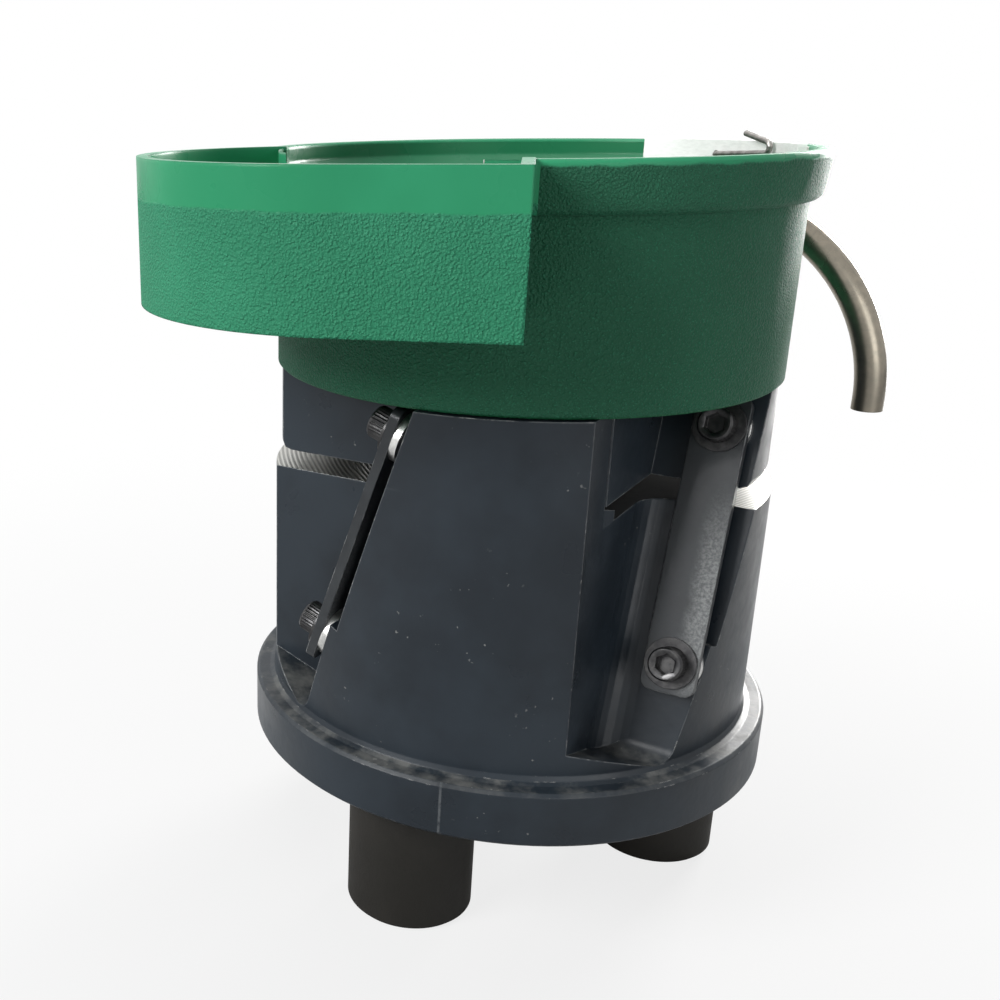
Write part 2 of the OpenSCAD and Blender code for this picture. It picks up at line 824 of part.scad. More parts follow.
module cable_gland()
    color("#2a2b2d")
    at_gland()
    difference() {
        union() {
            translate([0, 0, gland_face - gland_thread]) cylinder(r = gland_r, h = gland_thread);
            translate([0, 0, gland_face]) cylinder(r = gland_hex_r, h = gland_hex_h, $fn = 6);
            translate([0, 0, gland_face + gland_hex_h]) cylinder(r = gland_r + 1, h = gland_out);
        }
        translate([0, 0, gland_face - gland_thread - past])
            cylinder(r = cable_d / 2 + 0.2, h = far);
        translate([0, 0, gland_face + gland_hex_h + gland_out - seal_h])
            cylinder(r = cable_d / 2 + 1.7, h = far);
    }

module gland_seal()
    color("#161616")
    at_gland()
    translate([0, 0, gland_face + gland_hex_h + gland_out - seal_h])
        ring(cable_d / 2 + 1.6, cable_d / 2, seal_h);

module gland_nut()
    color("#2a2b2d")
    at_gland()
    translate([0, 0, gland_face + gland_hex_h + 0.5])
    difference() {
        union() {
            cylinder(r = gland_hex_r, h = gland_nut_h - 3, $fn = 6);
            translate([0, 0, gland_nut_h - 3])
                cylinder(r1 = gland_hex_r - 1, r2 = cable_d / 2 + 2.2, h = 4);
        }
        translate([0, 0, -past]) cylinder(r = gland_r + 1 + thread_gap, h = gland_out - 0.5 + past);
        cylinder(r = cable_d / 2, h = far);
    }

// ---- Assembly ----------------------------------------------------------------------------

foot(0);  // foot_front
foot(1);  // foot_right
foot(2);  // foot_rear
foot_studs();
foot_inserts();
base_casting();
cable_gland();
gland_seal();
gland_nut();
magnet_bracket();
bracket_screws();
magnet_core();
core_screws();
coil_bobbin();
coil_winding();
lower_spacers();
lower_washers();
lower_spring_screws();
for (i = [1:SPRINGS])
    leaf_spring(i);
upper_spacers();
upper_washers();
upper_spring_screws();
top_frame();
armature_block();
armature();
armature_screws();
bowl();
bowl_stud();
bowl_washer();
bowl_nut();
outlet_guide();
guide_screws();
sweep_wire();
discharge_tube();
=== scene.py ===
"""Vibratory bowl feeder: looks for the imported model.

Everything is in metres, in the model's frame: X to the right, Y away from the camera, Z up.
"""
import json
import math
from functools import partialmethod

import bmesh
import bpy
from mathutils import Matrix, Vector


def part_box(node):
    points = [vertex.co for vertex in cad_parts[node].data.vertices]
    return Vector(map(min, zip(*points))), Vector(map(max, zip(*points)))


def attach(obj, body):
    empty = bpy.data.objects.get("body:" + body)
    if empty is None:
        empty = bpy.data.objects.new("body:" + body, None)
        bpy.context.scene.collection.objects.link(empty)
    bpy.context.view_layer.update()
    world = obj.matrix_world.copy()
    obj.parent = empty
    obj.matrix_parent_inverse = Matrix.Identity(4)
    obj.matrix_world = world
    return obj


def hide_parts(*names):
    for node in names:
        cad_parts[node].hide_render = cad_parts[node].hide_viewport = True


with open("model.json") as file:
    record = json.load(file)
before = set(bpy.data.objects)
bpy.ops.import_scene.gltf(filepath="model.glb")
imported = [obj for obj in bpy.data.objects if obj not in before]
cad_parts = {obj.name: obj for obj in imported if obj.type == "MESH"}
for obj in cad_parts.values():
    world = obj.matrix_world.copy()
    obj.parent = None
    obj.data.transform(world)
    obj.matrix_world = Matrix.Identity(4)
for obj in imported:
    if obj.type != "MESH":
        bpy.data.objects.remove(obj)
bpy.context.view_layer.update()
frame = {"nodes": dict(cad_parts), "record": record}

MM = 0.001
NODES = frame["nodes"]
SLOTS = {part["node"]: part["material_slot"] for part in frame["record"]["subparts"]}


# ---- Driving sizes, as in the part ---------------------------------------------------------

POCKET_ANGLE = math.radians(247.4)
SPRING_TILT = math.radians(18.8)
SEAT_OFFSET = 17 * MM
SCREW_REACH = 65.4 * MM
LOWER_SCREW = -30.2 * MM
UPPER_SCREW = 39.8 * MM
HEAD_STACK = 6.2 * MM       # spacer, spring and washer under each screw head
HEAD_R = 5.0 * MM
HEAD_H = 6.0 * MM
SOCKET_R = 3.0 * MM
SOCKET_DEPTH = 3.3 * MM
SHANK_R = 3.0 * MM
SHANK = 19.5 * MM           # from the head's seating face to the end of the screw

base_low, base_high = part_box("base_casting")
frame_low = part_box("top_frame")[0]
bowl_low, bowl_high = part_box("bowl")

FLANGE_R = base_high[0]
FLANGE_Z = base_low[2]
FLANGE_TOP = FLANGE_Z + 17.4 * MM
BASE_R = 78.25 * MM
BASE_TOP = frame_low[2] - 6 * MM
SEAT_Z = BASE_TOP - 16 * MM
LIP_Z = bowl_high[2]
BOWL_R = 77.7 * MM
PAN_R = 62.5 * MM
PAN_X = -45 * MM
PAN_Y = -50 * MM
PAN_SIDE = 0.4 * MM         # X of the pan's right side
PAN_FLOOR_Z = LIP_Z - 39.6 * MM
CUT_ANGLE = math.radians(261)


# ---- Where the looks change ----------------------------------------------------------------

COAT_EDGE = 1.2 * MM        # how far the coating's masks pass a face, or stop short of it
LIP_BAND = 1.6 * MM         # height of the smooth band below the bowl's lip
SMOOTH_BAND = 10.4 * MM     # height of the masked smooth band below the pan's lip
WANDER = 2.2 * MM           # how far the bands' lower edge wanders
LUMPS = 1450                # hammered lumps per metre
LUMP_DRIFT = 0.6 * MM       # how far noise pulls the lumps out of shape

CUT_SKIN = 0.25 * MM        # the bare face is looked for this close to the cut's plane
CUT_INNER, CUT_OUTER = 73.9 * MM, 81.2 * MM
CUT_INSET = 3.1 * MM
CUT_ABOVE_FLOOR = 4 * MM

OUTLET_FROM, OUTLET_TO = math.radians(1.6), math.radians(54.0)
OUTLET_INNER, OUTLET_OUTER = 69.5 * MM, 77.7 * MM
OUTLET_TOP, OUTLET_BOTTOM = LIP_Z - 0.3 * MM, LIP_Z - 13.4 * MM

DUST_TOP = FLANGE_TOP + 12 * MM
WALL_LINE_Z = BASE_TOP + 10.3 * MM      # paint line between the base and its raised front wall
WALL_LINE_FROM, WALL_LINE_TO = -1.93, -2.2      # it fades in between these angles
SEAM_ANGLE = -1.742                     # parting seam on the flange

RING_GAP_R = 68 * MM                    # the open gap between base and top frame lies inside this
RING_GAP_MID = BASE_TOP + 3 * MM
RING_GAP_HALF = 3.3 * MM
CUTTER_X, CUTTER_Y = 125 * MM, 45 * MM  # centre of the arcs that the cutter left
CUTTER_PITCH = 4200.0                   # radians of the arcs' wave per metre

WEAR_HIGHLIGHT_REACH = (65.5 * MM, 70.5 * MM)      # the springs' painted highlight and scratch wear run from the first to the second
WEAR_HIGHLIGHT_BOTTOM = (82 * MM, 92 * MM)
WEAR_HIGHLIGHT_TOP = (148 * MM, 120 * MM)
WIRE_PITCH = 0.9 * MM


# ---- Node helpers --------------------------------------------------------------------------

class Mat:
    """A material with short calls for its nodes."""

    def __init__(self, name):
        self.material = bpy.data.materials.new(name)
        self.material.use_nodes = True
        self.tree = self.material.node_tree
        self.shader = self.tree.nodes["Principled BSDF"]
        self.place = self.add("ShaderNodeTexCoord").outputs["Object"]

    def add(self, kind, **settings):
        node = self.tree.nodes.new(kind)
        for key, value in settings.items():
            setattr(node, key, value)
        return node

    def link(self, source, target):
        """Links a socket, or sets a plain value."""
        if isinstance(source, (int, float, tuple)):
            target.default_value = source
        else:
            self.tree.links.new(source, target)

    def link_color(self, source, target):
        self.link((*source, 1) if isinstance(source, tuple) else source, target)

    def calc(self, operation, a, b=0.0):
        node = self.add("ShaderNodeMath", operation=operation)
        self.link(a, node.inputs[0])
        self.link(b, node.inputs[1])
        return node.outputs[0]

    plus = partialmethod(calc, "ADD")
    minus = partialmethod(calc, "SUBTRACT")
    times = partialmethod(calc, "MULTIPLY")
    more = partialmethod(calc, "GREATER_THAN")
    less = partialmethod(calc, "LESS_THAN")
    larger = partialmethod(calc, "MAXIMUM")
    size = partialmethod(calc, "ABSOLUTE")

    def both(self, first, *others):
        """1 only where all the masks are 1."""
        for mask in others:
            first = self.times(first, mask)
        return first

    def reach(self, x, y):
        """Distance from the vertical axis."""
        return self.calc("SQRT", self.plus(self.times(x, x), self.times(y, y)))

    def axes(self, vector=None):
        node = self.add("ShaderNodeSeparateXYZ")
        self.link(vector or self.place, node.inputs[0])
        return node.outputs

    def facing(self):
        """The face's own direction, without bumps."""
        return self.add("ShaderNodeNewGeometry").outputs["Normal"]

    def noise(self, scale, detail=3.0, rough=0.55, vector=None):
        """Noise with about scale patches per metre."""
        node = self.add("ShaderNodeTexNoise")
        self.link(vector or self.place, node.inputs["Vector"])
        node.inputs["Scale"].default_value = scale
        node.inputs["Detail"].default_value = detail
        node.inputs["Roughness"].default_value = rough
        return node.outputs["Fac"]

    def cells(self, scale, vector, smooth):
        node = self.add("ShaderNodeTexVoronoi", feature="SMOOTH_F1")
        self.link(vector, node.inputs["Vector"])
        node.inputs["Scale"].default_value = scale
        node.inputs["Smoothness"].default_value = smooth
        return node.outputs["Distance"]

    def warped(self, scale, amount):
        """The place, pulled about by noise."""
        drift = self.add("ShaderNodeTexNoise")
        self.link(self.place, drift.inputs["Vector"])
        drift.inputs["Scale"].default_value = scale
        offset = self.add("ShaderNodeVectorMath", operation="SCALE")
        self.link(drift.outputs["Color"], offset.inputs[0])
        offset.inputs["Scale"].default_value = amount
        warp = self.add("ShaderNodeVectorMath", operation="ADD")
        self.link(self.place, warp.inputs[0])
        self.link(offset.outputs[0], warp.inputs[1])
        return warp.outputs[0]

    def stretch(self, sx, sy, sz):
        node = self.add("ShaderNodeVectorMath", operation="MULTIPLY")
        self.link(self.place, node.inputs[0])
        node.inputs[1].default_value = (sx, sy, sz)
        return node.outputs[0]

    def ramp(self, value, low, high, out_low=0.0, out_high=1.0):
        """A smooth step from low to high, which may be the smaller one."""
        node = self.add("ShaderNodeMapRange", interpolation_type="SMOOTHSTEP")
        self.link(value, node.inputs["Value"])
        node.inputs["From Min"].default_value = low
        node.inputs["From Max"].default_value = high
        node.inputs["To Min"].default_value = out_low
        node.inputs["To Max"].default_value = out_high
        return node.outputs["Result"]

    def near(self, value, target, width):
        """1 close to target, and 0 from width away."""
        return self.ramp(self.size(self.minus(value, target)), width, width * 0.4)

    def mix(self, factor, a, b):
        node = self.add("ShaderNodeMix", data_type="RGBA")
        self.link(factor, node.inputs["Factor"])
        self.link_color(a, node.inputs["A"])
        self.link_color(b, node.inputs["B"])
        return node.outputs["Result"]

    def blend(self, factor, a, b):
        """a where factor is 0, b where it is 1, for plain numbers."""
        node = self.add("ShaderNodeMix", data_type="FLOAT")
        self.link(factor, node.inputs["Factor"])
        self.link(a, node.inputs["A"])
        self.link(b, node.inputs["B"])
        return node.outputs["Result"]

    def round_edges(self, radius):
        node = self.add("ShaderNodeBevel", samples=6)
        node.inputs["Radius"].default_value = radius
        return node.outputs["Normal"]

    def edge_mask(self, radius):
        """1 on sharp edges, 0 on faces."""
        dot = self.add("ShaderNodeVectorMath", operation="DOT_PRODUCT")
        self.link(self.facing(), dot.inputs[0])
        self.link(self.round_edges(radius), dot.inputs[1])
        return self.ramp(dot.outputs["Value"], 0.995, 0.90)

    def bump(self, height, strength, distance, normal=None):
        node = self.add("ShaderNodeBump")
        self.link(height, node.inputs["Height"])
        self.link(strength, node.inputs["Strength"])
        node.inputs["Distance"].default_value = distance
        if normal is not None:
            self.link(normal, node.inputs["Normal"])
        return node.outputs["Normal"]

    def finish(self, color, rough, metal=0.0, normal=None, **rest):
        sockets = self.shader.inputs
        self.link_color(color, sockets["Base Color"])
        self.link(rough, sockets["Roughness"])
        self.link(metal, sockets["Metallic"])
        if normal is not None:
            self.link(normal, sockets["Normal"])
        for key, value in rest.items():
            sockets[key.replace("_", " ")].default_value = value
        return self.material


# ---- Materials -----------------------------------------------------------------------------

GREEN = (0.032, 0.240, 0.128)
GREEN_DEEP = (0.022, 0.190, 0.098)
# painted shade for the bowl's own wall
GREEN_PAINTED_SHADE = (0.010, 0.040, 0.022)
# painted glints on the tops of the hammered lumps
GREEN_GLINT = (0.060, 0.330, 0.190)
GREEN_SMOOTH = (0.034, 0.295, 0.142)
GREEN_SMOOTH_DEEP = (0.024, 0.235, 0.108)
# painted shade for the inside of the bowl
GREEN_INSIDE_SHADE = (0.010, 0.115, 0.045)
BARE_ALUMINIUM = (0.78, 0.78, 0.75)


def bowl_coating():
    """Green coating: smooth inside, on the lips and in the pan's masked band, else hammered."""
    m = Mat("bowl_coating")
    x, y, z = m.axes()
    radius = m.reach(x, y)
    pan_radius = m.reach(m.minus(x, PAN_X), m.minus(y, PAN_Y))

    def in_plan(inset):
        """1 over the pan seen from above, drawn in by inset: a circle and a square corner."""
        front = m.more(y, PAN_Y - PAN_R + inset)
        side = m.less(x, PAN_SIDE - inset)
        in_circle = m.both(m.less(pan_radius, PAN_R - inset), side)
        in_corner = m.both(m.both(front, side), m.both(m.more(x, PAN_X), m.less(y, PAN_Y)))
        return m.larger(in_circle, in_corner)

    # where the coating is hammered
    on_pan = m.both(in_plan(-COAT_EDGE), m.more(radius, BOWL_R + COAT_EDGE))
    off_pan = m.larger(m.less(z, PAN_FLOOR_Z + COAT_EDGE), m.minus(1.0, in_plan(COAT_EDGE)))
    off_bore = m.larger(m.more(radius, BOWL_R - 0.1 * MM), m.less(z, bowl_low[2] + 0.8 * MM))
    band = m.blend(on_pan, LIP_Z - LIP_BAND, LIP_Z - SMOOTH_BAND)
    wander = m.times(m.minus(m.noise(90, 4), 0.5), WANDER)
    below_band = m.ramp(m.minus(m.plus(band, wander), z), -0.2 * MM, 0.7 * MM)
    hammered = m.both(m.both(off_pan, off_bore), below_band)

    # its relief
    lumps = m.minus(1.0, m.cells(LUMPS, m.warped(1000, LUMP_DRIFT), 0.6))
    grain = m.noise(2200, 2, 0.5)
    height = m.plus(m.times(lumps, 0.6), m.times(grain, 0.5))
    ripple = m.noise(60, 2)
    smooth_normal = m.bump(ripple, 0.12, 1.2 * MM, m.round_edges(1.1 * MM))
    normal = m.bump(height, m.times(hammered, 1.0), 0.8 * MM, smooth_normal)

    # its colours, with painted shade: the bowl's own wall is painted darker than the pan, for the
    # shade that falls on it
    tone = m.noise(14, 3)
    color = m.mix(hammered,
                  m.mix(m.ramp(tone, 0.35, 0.7), GREEN_SMOOTH_DEEP, GREEN_SMOOTH),
                  m.mix(m.ramp(tone, 0.35, 0.7), GREEN_DEEP, GREEN))
    own = m.larger(m.minus(1.0, in_plan(-COAT_EDGE)), m.less(radius, BOWL_R + 0.6 * MM))
    own = m.both(hammered, own)
    # painted shade: the bowl's own wall is mixed towards a dark green
    color = m.mix(m.times(own, 0.68), color, GREEN_PAINTED_SHADE)
    # painted highlight: light glints painted on the tops of the hammered lumps, fewer on the shaded
    # wall
    painted_glint = m.times(m.ramp(height, 0.60, 0.90), m.times(hammered, 0.75))
    color = m.mix(m.times(painted_glint, m.blend(own, 1.0, 0.45)), color, GREEN_GLINT)
    # painted shade: the inside of the bowl below the lip is painted darker
    inside = m.both(m.less(radius, BOWL_R - 0.2 * MM), m.less(z, LIP_Z - 1.2 * MM))
    color = m.mix(m.times(inside, 0.6), color, GREEN_INSIDE_SHADE)

    # bare cut end of the bowl's wall beside the pan
    along = m.plus(m.times(x, -math.sin(CUT_ANGLE)), m.times(y, math.cos(CUT_ANGLE)))
    at_cut = m.both(m.less(m.size(along), CUT_SKIN), m.less(y, 0.0), m.more(radius, CUT_INNER),
                    m.ramp(m.noise(700, 2), 0.36, 0.42), m.less(radius, CUT_OUTER),
                    in_plan(CUT_INSET), m.more(z, PAN_FLOOR_Z + CUT_ABOVE_FLOOR))

    # bare pocket milled for the outlet guide
    angle = m.calc("ARCTAN2", y, x)
    in_outlet = m.both(m.more(angle, OUTLET_FROM), m.less(angle, OUTLET_TO),
                       m.more(z, OUTLET_BOTTOM), m.less(z, OUTLET_TOP),
                       m.less(radius, OUTLET_OUTER), m.more(radius, OUTLET_INNER))
    bare = m.larger(at_cut, in_outlet)
    color = m.mix(bare, color, BARE_ALUMINIUM)
    rough = m.blend(hammered, m.ramp(ripple, 0.3, 0.7, 0.24, 0.34),
                    m.ramp(grain, 0.3, 0.7, 0.48, 0.64))
    rough = m.blend(bare, rough, 0.35)
    return m.finish(color, rough, bare, normal, Specular_IOR_Level=0.18)


DRIVE = (0.021, 0.029, 0.038)
DRIVE_DARK = (0.014, 0.019, 0.025)
DUST = (0.20, 0.20, 0.19)
SPECK = (0.30, 0.30, 0.29)
CHIP = (0.36, 0.36, 0.35)
# faint marks, and on upper corners also a painted edge highlight
MARK_AND_EDGE_HIGHLIGHT = (0.45, 0.47, 0.48)
# painted shade for the gap under the top frame
GAP_SHADE = (0.004, 0.005, 0.006)
MILLED_DARK, MILLED_LIGHT = (0.28, 0.28, 0.26), (0.58, 0.58, 0.54)


def drive_paint():
    """Slate paint on the castings: soft sheen, dust on ledges, chips on edges, a painted highlight
    on upper corners, painted shade in the gap under the top frame, milled base top.
    """
    m = Mat("drive_paint")
    x, y, z = m.axes()
    up = m.axes(m.facing())[2]
    color = m.mix(m.ramp(m.noise(22, 4, 0.6), 0.35, 0.65), DRIVE_DARK, DRIVE)
    dusty = m.both(m.ramp(up, 0.55, 0.95), m.ramp(m.noise(75, 5, 0.65), 0.42, 0.68),
                   m.less(z, DUST_TOP))
    color = m.mix(m.times(dusty, 0.65), color, DUST)
    specks = m.both(m.ramp(m.noise(520, 2), 0.70, 0.76), m.ramp(m.noise(38, 2), 0.52, 0.66))
    color = m.mix(m.times(specks, 0.7), color, SPECK)
    chips = m.both(m.edge_mask(0.6 * MM), m.ramp(m.noise(240, 4, 0.65), 0.56, 0.66))
    color = m.mix(chips, color, CHIP)

    # faint marks: a line high on the front wall, a seam on the flange, and on upper corners wear
    # that is also a painted edge highlight
    angle = m.calc("ARCTAN2", y, x)
    radius = m.reach(x, y)
    line = m.both(m.near(z, WALL_LINE_Z, 0.5 * MM), m.ramp(angle, WALL_LINE_FROM, WALL_LINE_TO),
                  m.more(radius, BASE_R - 1 * MM))
    seam = m.both(m.near(angle, SEAM_ANGLE, 0.006), m.more(radius, FLANGE_R - 1.2 * MM),
                  m.ramp(m.noise(300, 3), 0.35, 0.6))
    corner = m.both(m.edge_mask(0.5 * MM), m.more(z, FLANGE_TOP + 3 * MM),
                    m.ramp(m.noise(110, 4, 0.65), 0.36, 0.52))
    marks = m.larger(m.times(line, 0.10), m.times(seam, 0.16))
    marks = m.larger(marks, m.times(corner, 0.35))
    color = m.mix(marks, color, MARK_AND_EDGE_HIGHLIGHT)

    # painted shade: the gap under the top frame is painted near black for the shade in it; around
    # it the base's bright milled top face
    inner = m.both(m.less(radius, RING_GAP_R), m.more(x, 0.0))
    gap_shade = m.both(m.less(m.size(m.minus(z, RING_GAP_MID)), RING_GAP_HALF), inner)
    color = m.mix(m.times(gap_shade, m.ramp(up, 0.3, 0.6)), color, GAP_SHADE)
    milled = m.both(m.less(m.size(m.minus(z, BASE_TOP)), 0.3 * MM), m.more(up, 0.8),
                    m.minus(1.0, inner))
    arc = m.reach(m.minus(x, CUTTER_X), m.minus(y, CUTTER_Y))
    arcs = m.calc("SINE", m.times(arc, CUTTER_PITCH))
    color = m.mix(milled, color, m.mix(m.ramp(arcs, -1, 1), MILLED_DARK, MILLED_LIGHT))

    normal = m.bump(m.noise(330, 2, 0.5), 0.10, 0.6 * MM, m.round_edges(0.7 * MM))
    normal = m.bump(m.times(arcs, milled), 0.5, 0.2 * MM, normal)
    rough = m.ramp(m.noise(45, 4, 0.6), 0.3, 0.7, 0.27, 0.42)
    rough = m.blend(m.larger(dusty, chips), rough, 0.6)
    rough = m.blend(milled, rough, 0.32)
    rough = m.blend(gap_shade, rough, 0.9)
    return m.finish(color, rough, milled, normal, Specular_IOR_Level=0.3)


def metal(name, light, dark, rough_low, rough_high, scale=(1, 1, 1), bump=0.15, metallic=1.0):
    """Plain metal with fine tool lines drawn out by scale."""
    m = Mat(name)
    lines = m.noise(420, 4, 0.6, m.stretch(*scale))
    patches = m.noise(60, 3)
    color = m.mix(m.ramp(lines, 0.3, 0.7), dark, light)
    color = m.mix(m.ramp(patches, 0.45, 0.75, 0.0, 0.4), color, dark)
    normal = m.bump(lines, bump, 0.3 * MM, m.round_edges(0.3 * MM))
    return m.finish(color, m.ramp(patches, 0.3, 0.7, rough_low, rough_high), metallic, normal)


def rubber(name, color_a, color_b):
    m = Mat(name)
    film = m.noise(30, 4, 0.6)
    color = m.mix(m.ramp(film, 0.4, 0.75), color_a, color_b)
    normal = m.bump(m.noise(700, 3), 0.22, 0.3 * MM, m.round_edges(0.8 * MM))
    rough = m.ramp(film, 0.3, 0.7, 0.55, 0.72)
    return m.finish(color, rough, 0.0, normal, Specular_IOR_Level=0.35)


def plastic(name, color_a, color_b, rough):
    m = Mat(name)
    grain = m.noise(900, 2)
    color = m.mix(m.ramp(m.noise(40, 3), 0.3, 0.7), color_a, color_b)
    normal = m.bump(grain, 0.12, 0.2 * MM, m.round_edges(0.4 * MM))
    return m.finish(color, m.ramp(grain, 0.3, 0.7, rough - 0.05, rough + 0.05), 0.0, normal)


def winding():
    """Copper winding with its turns as fine ridges."""
    m = Mat("copper_wire")
    turns = m.calc("SINE", m.times(m.axes()[2], 2 * math.pi / WIRE_PITCH))
    color = m.mix(m.ramp(turns, -1, 1), (0.16, 0.05, 0.02), (0.50, 0.19, 0.07))
    return m.finish(color, 0.35, 0.9, m.bump(turns, 0.6, 0.3 * MM))


SPRING_DARK, SPRING_LIGHT = (0.021, 0.024, 0.027), (0.033, 0.037, 0.041)
# painted highlight and scratch wear along the spring's outer edge
SPRING_WEAR_AND_HIGHLIGHT = (0.27, 0.28, 0.28)
SPRING_WORN = (0.30, 0.31, 0.31)


def spring_paint():
    """Dark painted spring steel, with a grey grainy painted highlight and scratch wear along the
    outer long edge.
    """
    m = Mat("spring_steel")
    x, y, z = m.axes()
    c, k = math.cos(POCKET_ANGLE), math.sin(POCKET_ANGLE)
    first = m.size(m.plus(m.times(x, c), m.times(y, k)))
    second = m.size(m.minus(m.times(y, c), m.times(x, k)))
    grain = m.noise(1300, 3, 0.6)
    patches = m.noise(70, 4, 0.6)
    edge = m.plus(m.larger(first, second), m.times(m.minus(patches, 0.5), 8 * MM))
    # the narrow edges get no painted highlight or wear
    nx, ny, _ = m.axes(m.facing())
    outward = m.size(m.plus(m.times(x, nx), m.times(y, ny)))
    wear_and_highlight = m.both(m.ramp(edge, *WEAR_HIGHLIGHT_REACH), m.ramp(z, *WEAR_HIGHLIGHT_TOP), m.ramp(z, *WEAR_HIGHLIGHT_BOTTOM),
                    m.ramp(outward, 50 * MM, 35 * MM))
    color = m.mix(m.ramp(patches, 0.35, 0.7), SPRING_DARK, SPRING_LIGHT)
    # painted highlight, with scratch wear, along the outer long edge
    color = m.mix(m.times(wear_and_highlight, m.ramp(grain, 0.30, 0.75, 0.25, 0.8)), color, SPRING_WEAR_AND_HIGHLIGHT)
    worn = m.both(m.edge_mask(0.4 * MM), m.ramp(m.noise(160, 3), 0.45, 0.6))
    color = m.mix(worn, color, SPRING_WORN)
    normal = m.bump(grain, m.blend(wear_and_highlight, 0.10, 0.30), 0.2 * MM, m.round_edges(0.5 * MM))
    rough = m.blend(wear_and_highlight, m.ramp(patches, 0.3, 0.7, 0.28, 0.42), 0.5)
    return m.finish(color, rough, 0.25, normal)


# light colour, dark colour, lowest and highest roughness, then what differs from plain metal
METALS = {
    "zinc_steel": ((0.62, 0.63, 0.62), (0.40, 0.41, 0.42), 0.28, 0.42, {}),
    "plain_steel": ((0.45, 0.46, 0.47), (0.28, 0.29, 0.30), 0.32, 0.5, {}),
    "black_steel": ((0.075, 0.074, 0.074), (0.035, 0.035, 0.037), 0.30, 0.46,
                    {"metallic": 0.85}),
    "core_steel": ((0.28, 0.28, 0.29), (0.12, 0.12, 0.13), 0.4, 0.55,
                   {"scale": (1, 30, 1), "bump": 0.4}),
    "spacer_metal": ((0.80, 0.80, 0.78), (0.55, 0.55, 0.54), 0.3, 0.45, {}),
    "bare_aluminium": ((0.97, 0.97, 0.95), (0.88, 0.88, 0.86), 0.42, 0.55,
                       {"scale": (1, 1, 3), "bump": 0.08, "metallic": 0.35}),
    "wire_steel": ((0.36, 0.35, 0.33), (0.18, 0.17, 0.16), 0.28, 0.42, {}),
    "tube_steel": ((0.29, 0.26, 0.21), (0.24, 0.22, 0.18), 0.24, 0.36, {"bump": 0.06}),
}

MATERIALS = {
    "bowl_coating": bowl_coating(),
    "drive_paint": drive_paint(),
    "foot_rubber": rubber("foot_rubber", (0.009, 0.008, 0.006), (0.018, 0.016, 0.013)),
    "seal_rubber": rubber("seal_rubber", (0.015, 0.015, 0.015), (0.025, 0.025, 0.025)),
    "spring_steel": spring_paint(),
    "gland_plastic": plastic("gland_plastic", (0.022, 0.022, 0.023), (0.034, 0.034, 0.035), 0.5),
    "bobbin_plastic": plastic("bobbin_plastic", (0.60, 0.57, 0.46), (0.72, 0.69, 0.60), 0.5),
    "copper_wire": winding(),
}
for name, (*look, special) in METALS.items():
    MATERIALS[name] = metal(name, *look, **special)


def dress_nodes():
    for node, slot in SLOTS.items():
        mesh = NODES[node].data
        mesh.materials.clear()
        mesh.materials.append(MATERIALS[slot])


# ---- Spring screws with knurled heads ------------------------------------------------------

KNURL_TEETH = 30
KNURL_DEPTH = 0.32 * MM
RING_POINTS = KNURL_TEETH * 4
CHAMFER = 0.35 * MM


def seat_frame(index, along):
    """Frame of a spring screw: Z runs out of the head, the origin is on its seating face."""
    turn = Matrix.Rotation(POCKET_ANGLE + math.pi / 2 * index, 4, "Z")
    lean = Matrix.Rotation(-SPRING_TILT, 4, "X")
    seat = Matrix.Translation((SCREW_REACH, -HEAD_STACK, along))
    shift = Matrix.Translation((0, -SEAT_OFFSET, SEAT_Z))
    face_out = Matrix.Rotation(math.pi / 2, 4, "X")
    return turn @ shift @ lean @ seat @ face_out


def screw_mesh(mesh, place):
    """Adds one socket head screw with a knurled head, a chamfered rim and a hexagon socket."""

    def ring(z, reach_at):
        """A closed row of points; reach_at gives their distance from the screw's axis."""
        row = []
        for k in range(RING_POINTS):
            angle = 2 * math.pi * k / RING_POINTS
            reach = reach_at(angle)
            point = Vector((reach * math.cos(angle), reach * math.sin(angle), z))
            row.append(mesh.verts.new(place @ point))
        return row

    def knurl_at(angle):
        return HEAD_R - KNURL_DEPTH * (0.5 - 0.5 * math.cos(KNURL_TEETH * angle))

    def hexagon_at(angle):
        from_flat = (angle + math.pi / 6) % (math.pi / 3) - math.pi / 6
        return SOCKET_R * math.cos(math.pi / 6) / math.cos(from_flat)

    def circle(radius, z):
        return ring(z, lambda angle: radius)

    rings = [
        circle(SHANK_R, -SHANK),
        circle(SHANK_R, 0),
        circle(HEAD_R - CHAMFER, 0),
        circle(HEAD_R, CHAMFER),
        ring(0.7 * MM, knurl_at),
        ring(HEAD_H - 1.1 * MM, knurl_at),
        circle(HEAD_R - 0.05 * MM, HEAD_H - 0.7 * MM),
        circle(HEAD_R - 0.6 * MM, HEAD_H),
        circle(SOCKET_R + 0.45 * MM, HEAD_H),
        ring(HEAD_H - 0.35 * MM, hexagon_at),
        ring(HEAD_H - SOCKET_DEPTH, hexagon_at),
    ]
    for low, high in zip(rings, rings[1:]):
        for k in range(RING_POINTS):
            n = (k + 1) % RING_POINTS
            mesh.faces.new((low[k], low[n], high[n], high[k]))
    mesh.faces.new(list(reversed(rings[0])))
    mesh.faces.new(rings[-1])


def spring_screws(name, along, body, node):
    """One row of four screws, as one piece that replaces a CAD node."""
    mesh = bmesh.new()
    for index in range(4):
        screw_mesh(mesh, seat_frame(index, along))
    bmesh.ops.recalc_face_normals(mesh, faces=mesh.faces)
    data = bpy.data.meshes.new(name)
    mesh.to_mesh(data)
    mesh.free()
    for face in data.polygons:
        face.use_smooth = True
    data.set_sharp_from_angle(angle=math.radians(35))
    data.materials.append(MATERIALS[SLOTS[node]])
    obj = bpy.data.objects.new(name, data)
    bpy.context.scene.collection.objects.link(obj)
    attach(obj, body)
    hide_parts(node)


